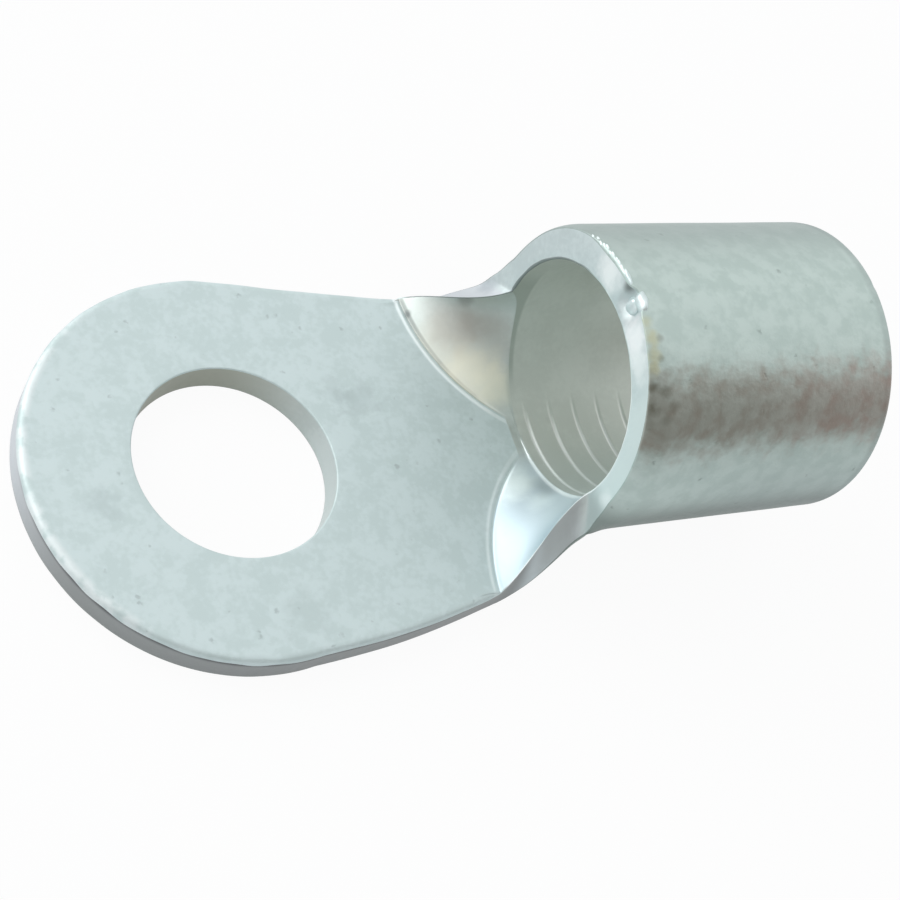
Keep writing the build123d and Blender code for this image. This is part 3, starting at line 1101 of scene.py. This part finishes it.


# %% The cut edges, with painted shade towards the near side and painted highlights on the rim
def cut_edge_light_and_shade(paint):
    """Painted shade towards the near side and in a dark line under the tongue's rolled corner, paler on the
    rim with painted highlights and painted shade.
    """
    # Painted shade: the cut faces darker towards the near side, and a painted dark line under the tongue's
    # rolled corner.
    across = add_node(paint.tree, "ShaderNodeAttribute", {"attribute_name": "across"}).outputs["Fac"]
    near_side = paint.ramp(paint.y, 2.5, -6)
    shaded_cut_face = Paint(paint.tree, paint.place, paint.mottle, (0.66, 0.70, 0.73))
    shaded_cut_face.lay((0.33, 0.35, 0.35), near_side)
    line = smooth(paint.tree, across, 0.20, 0.40, 1.0, 0.0)
    shaded_cut_face.lay((0.07, 0.075, 0.08), line, near_side, paint.ramp(paint.x, 12, 9), 0.95)
    on_wing = paint.ramp(paint.x, 12.9, 13.9), near_side, paint.ramp(paint.x, 15.4, 14.4, 0.55, 1.0)
    shaded_cut_face.lay((0.60, 0.67, 0.69), *on_wing)
    # On the rim: paler towards the near side, with painted shade at its near foot.
    paint.lay((0.74, 0.82, 0.81), paint.ramp(paint.y, -3.0, -5.0))
    paint.lay((0.50, 0.56, 0.55), paint.ramp(paint.z, 8.3, 6.8), paint.ramp(paint.y, 0.0, -3))
    rim = rim_x / mm
    on_rim = paint.ramp(paint.x, rim - 0.45, rim - 0.05)
    paint.colour = mix_colour(paint.tree, on_rim, shaded_cut_face.colour, paint.colour)
    # Painted shade in the nick, painted highlights on the rim and at its near foot, and a darker patch at
    # the far foot.
    bright = (0.95, 0.98, 0.97)
    paint.lay_stains_and_painted_light([
        ((rim, 0.55, 15.45), 0.55, 0.90, (0.22, 0.25, 0.24)),
        ((rim, -7.1, 8.0), 0.8, 0.60, bright),
        ((15.4, 7.3, 5.5), 1.0, 0.65, (0.40, 0.45, 0.48)),
        ((rim, -1.9, 14.4), 1.7, 1.00, (1.0, 1.0, 1.0)),
        ((rim, -3.0, 14.0), 1.3, 0.70, bright),
        ((rim, 1.9, 14.6), 1.5, 0.80, bright),
    ], Ragged=0.8, Ragged_scale=1500.0)


tinned(
    "edge_tin", (0.66, 0.74, 0.74), (0.58, 0.66, 0.66),
    metallic=0.75, rough=0.40, rough_spread=0.16, relief=0.012 * mm,
    pits=0.4, tint=cut_edge_light_and_shade,
)


# %% The wall of the stud hole, and the braze
def hole_wall_shade(paint):
    """Painted shade: olive on the side away from the barrel, paler towards it."""
    pale_side = paint.ramp(less(paint.tree, paint.x, paint.y), -6, 5)
    paint.colour = mix_colour(paint.tree, pale_side, (0.40, 0.42, 0.36), paint.colour)


tinned(
    "hole_tin", (0.64, 0.71, 0.70), (0.57, 0.64, 0.63),
    metallic=0.80, rough=0.45, rough_spread=0.16, relief=0.008 * mm,
    tint=hole_wall_shade,
)
tinned(
    "braze_tin", (0.80, 0.90, 0.90), (0.66, 0.76, 0.76),
    metallic=0.60, rough=0.36, rough_spread=0.2, relief=0.012 * mm,
    pits=0.1,
)
print("finishes", sorted(finishes))

# %% [markdown]
# ## The braze
# The joint was closed with braze. A bead of it stands on the seam just behind the rim, a
# drop fills part of the nick, and a run and small beads follow the rim's corner beside it.
# A lump is a ball pushed out of round. The beads repeat along an arc, so a node tree
# places them, each with its own size.

# %% Make the lumps
unevenness = 0.12


def lump(name, centre, half_sizes, turn=0.0):
    """An out-of-round ball; its centre is in mm from where the barrel's axis meets the rim."""
    shape = bmesh.new()
    bmesh.ops.create_icosphere(shape, subdivisions=4, radius=1.0)
    middle = Vector((rim_x, 0, axis_z)) + Vector(centre) * mm
    for vertex in shape.verts:
        swell = 1 + unevenness * math.sin(3 * vertex.co.x + 1) * math.cos(4 * vertex.co.y + 2)
        place = Vector(a * b * mm for a, b in zip(vertex.co * swell, half_sizes))
        vertex.co = Matrix.Rotation(turn, 3, "Z") @ place + middle
    mesh = bpy.data.meshes.new(name)
    shape.to_mesh(mesh)
    shape.free()
    mesh.shade_smooth()
    mesh.materials.append(finishes["braze_tin"])
    return add_object(name, mesh)


lumps = [
    lump("braze_bead", (0.38, -0.36, 7.62), (0.29, 0.60, 0.33), turn=-0.25),
    lump("braze_drop", (0.32, -0.20, 7.04), (0.26, 0.42, 0.46)),
    lump("braze_run", (0.12, 0.99, 7.72), (0.12, 0.46, 0.11)),
]


# %% The tree that lays beads along an arc
def bead_tree(material):
    numbers = ["Smallest", "Largest", "Stretch", "Scatter"]
    tree, given = geometry_tree("Beads along the rim", numbers, ["Count", "Seed"])
    line = add_node(tree, "GeometryNodeMeshToCurve", Mesh=given["Geometry"]).outputs[0]
    evenly = {"mode": "COUNT"}
    points = add_node(tree, "GeometryNodeCurveToPoints", evenly, Curve=line, Count=given["Count"])
    ball = add_node(tree, "GeometryNodeMeshIcoSphere", Radius=1.0, Subdivisions=3).outputs[0]
    ball = add_node(tree, "GeometryNodeSetShadeSmooth", Geometry=ball).outputs[0]
    size = add_node(
        tree, "FunctionNodeRandomValue", {"data_type": "FLOAT"},
        i2=given["Smallest"], i3=given["Largest"], Seed=given["Seed"],
    ).outputs[1]
    scale = {"X": size, "Y": times(tree, size, given["Stretch"]), "Z": size}
    scale = add_node(tree, "ShaderNodeCombineXYZ", **scale).outputs[0]
    stray = add_node(
        tree, "FunctionNodeRandomValue", {"data_type": "FLOAT_VECTOR"},
        i0=(-0.2, -1.0, -0.5), i1=(1.0, 1.0, 0.0), Seed=given["Seed"],
    ).outputs[0]
    offset = vector_node(tree, "SCALE", i0=stray, Scale=given["Scatter"])[0]
    moved = add_node(tree, "GeometryNodeSetPosition", Geometry=points.outputs[0], Offset=offset)
    where = {"Points": moved.outputs[0], "Instance": ball, "Scale": scale}
    hand_out(tree, add_node(tree, "GeometryNodeInstanceOnPoints", **where).outputs[0], material)
    return tree


# %% Beads on the rim's outer corner, beside the nick
def rim_arc(name, start, end, steps):
    """A thin line of edges along the rim's outer corner, between two turns in degrees."""
    inset = 0.09 * mm
    points = on_barrel(rim_x + inset, np.radians(np.linspace(start, end, steps)), barrel_r - inset)
    mesh = bpy.data.meshes.new(name)
    mesh.from_pydata([tuple(p) for p in points], [(i, i + 1) for i in range(steps - 1)], [])
    return add_object(name, mesh)


rim_beads = rim_arc("rim_beads", start=58, end=78, steps=24)
settle(rim_beads, bead_tree(finishes["braze_tin"]), {
    "Smallest": 0.03 * mm, "Largest": 0.10 * mm, "Stretch": 2.8, "Scatter": 0.10 * mm,
    "Count": 10, "Seed": 5,
})
print("rim beads", len(rim_beads.data.polygons), "faces")

# %% The dressed pieces stand for the plain solid
for piece in (lug, *lumps, rim_beads):
    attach(piece, "root")
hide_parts("lug_body")

# %% [markdown]
# ## The studio
# The lug lies on a white table under one wide soft lamp. Satin metal shows what stands round
# it: a white room that is dark on the viewer's side. The dark side is painted in the world,
# where only reflections see it, so the background stays white.

# %% The table
table = {"half_width": 3.0, "glow_to_camera": 0.94, "glow_in_reflections": 0.4}


def white_table():
    """A flat sheet that the camera sees almost white, and that still takes the lug's shadow."""
    half = table["half_width"]
    corners = [(half * x, half * y, 0) for x, y in ((-1, -1), (1, -1), (1, 1), (-1, 1))]
    mesh = bpy.data.meshes.new("table")
    mesh.from_pydata(corners, [], [(0, 1, 2, 3)])
    material = bpy.data.materials.new("white_table")
    tree = cleared_tree(material)
    paper = add_node(tree, "ShaderNodeBsdfDiffuse", Color=(0.9, 0.9, 0.9, 1.0))
    glow = add_node(tree, "ShaderNodeEmission", Color=(1.0, 1.0, 1.0, 1.0), Strength=1.0)
    path = add_node(tree, "ShaderNodeLightPath").outputs
    seen = times(tree, path["Is Camera Ray"], table["glow_to_camera"])
    white = math_node(tree, "MULTIPLY_ADD", path["Is Glossy Ray"], table["glow_in_reflections"], seen)
    both = add_node(tree, "ShaderNodeMixShader", Fac=white, i1=paper.outputs[0], i2=glow.outputs[0])
    add_node(tree, "ShaderNodeOutputMaterial", Surface=both.outputs[0])
    mesh.materials.append(material)
    add_object("table", mesh)


white_table()


# %% The room as reflections see it
dark_side = {"starts": -0.30, "full": -0.62, "colour": (0.36, 0.34, 0.31)}


def white_world():
    """A pale room for soft light, white to the camera, with a dark side for reflections."""
    world = bpy.data.worlds.new("studio")
    bpy.context.scene.world = world
    tree = cleared_tree(world)
    direction = add_node(tree, "ShaderNodeTexCoord").outputs["Generated"]
    sideways = parts_of(tree, direction)[1]
    path = add_node(tree, "ShaderNodeLightPath").outputs
    dark = smooth(tree, sideways, dark_side["full"], dark_side["starts"], 1.0, 0.0)
    mirrored_dark = times(tree, dark, path["Is Glossy Ray"])
    seen = mix_colour(tree, mirrored_dark, (1.0, 1.0, 1.0), dark_side["colour"])
    room = add_node(tree, "ShaderNodeBackground", Color=(0.94, 0.97, 1.0, 1.0), Strength=0.65)
    back = add_node(tree, "ShaderNodeBackground", Color=seen, Strength=1.0)
    white = math_node(tree, "MAXIMUM", path["Is Camera Ray"], path["Is Glossy Ray"])
    both = add_node(tree, "ShaderNodeMixShader", Fac=white, i1=room.outputs[0], i2=back.outputs[0])
    add_node(tree, "ShaderNodeOutputWorld", Surface=both.outputs[0])


white_world()


# %% The lamp
def soft_lamp(name, towards, distance, size, power):
    """A square area lamp that looks at the middle of the lug from one direction."""
    middle = Vector((10 * mm, 0, 5 * mm))
    data = bpy.data.lights.new(name, "AREA")
    data.size = size
    data.energy = power
    lamp = add_object(name, data)
    lamp.location = middle + Vector(towards).normalized() * distance
    lamp.rotation_euler = (middle - lamp.location).to_track_quat("-Z", "Y").to_euler()
    print(name, "radiance", round(power / (math.pi * size**2), 2))


soft_lamp("window", towards=(-0.60, 0.62, 0.50), distance=0.5, size=0.5, power=1.4)

# %% [markdown]
# ## The camera
# The photograph looks down on the lug from over the near side of its ring, and the frame
# is rolled so that the lug lies level in the picture.

# %% Place the camera
camera_place = Vector((-32.88, -34.05, 69.53)) * mm
camera_aim = Vector((10.53, -1.56, 4.0)) * mm
camera_roll = math.radians(40.83)


def photo_camera():
    data = bpy.data.cameras.new("photo_camera")
    data.lens = 67.08
    data.sensor_width = 36.0
    data.clip_start = 1 * mm
    camera = add_object("photo_camera", data)
    level = (camera_aim - camera_place).to_track_quat("-Z", "Y").to_matrix()
    turned = level @ Matrix.Rotation(camera_roll, 3, "Z")
    camera.matrix_world = Matrix.Translation(camera_place) @ turned.to_4x4()
    bpy.context.scene.camera = camera


photo_camera()

bpy.context.scene.view_settings.view_transform = "Standard"
bpy.context.view_layer.update()
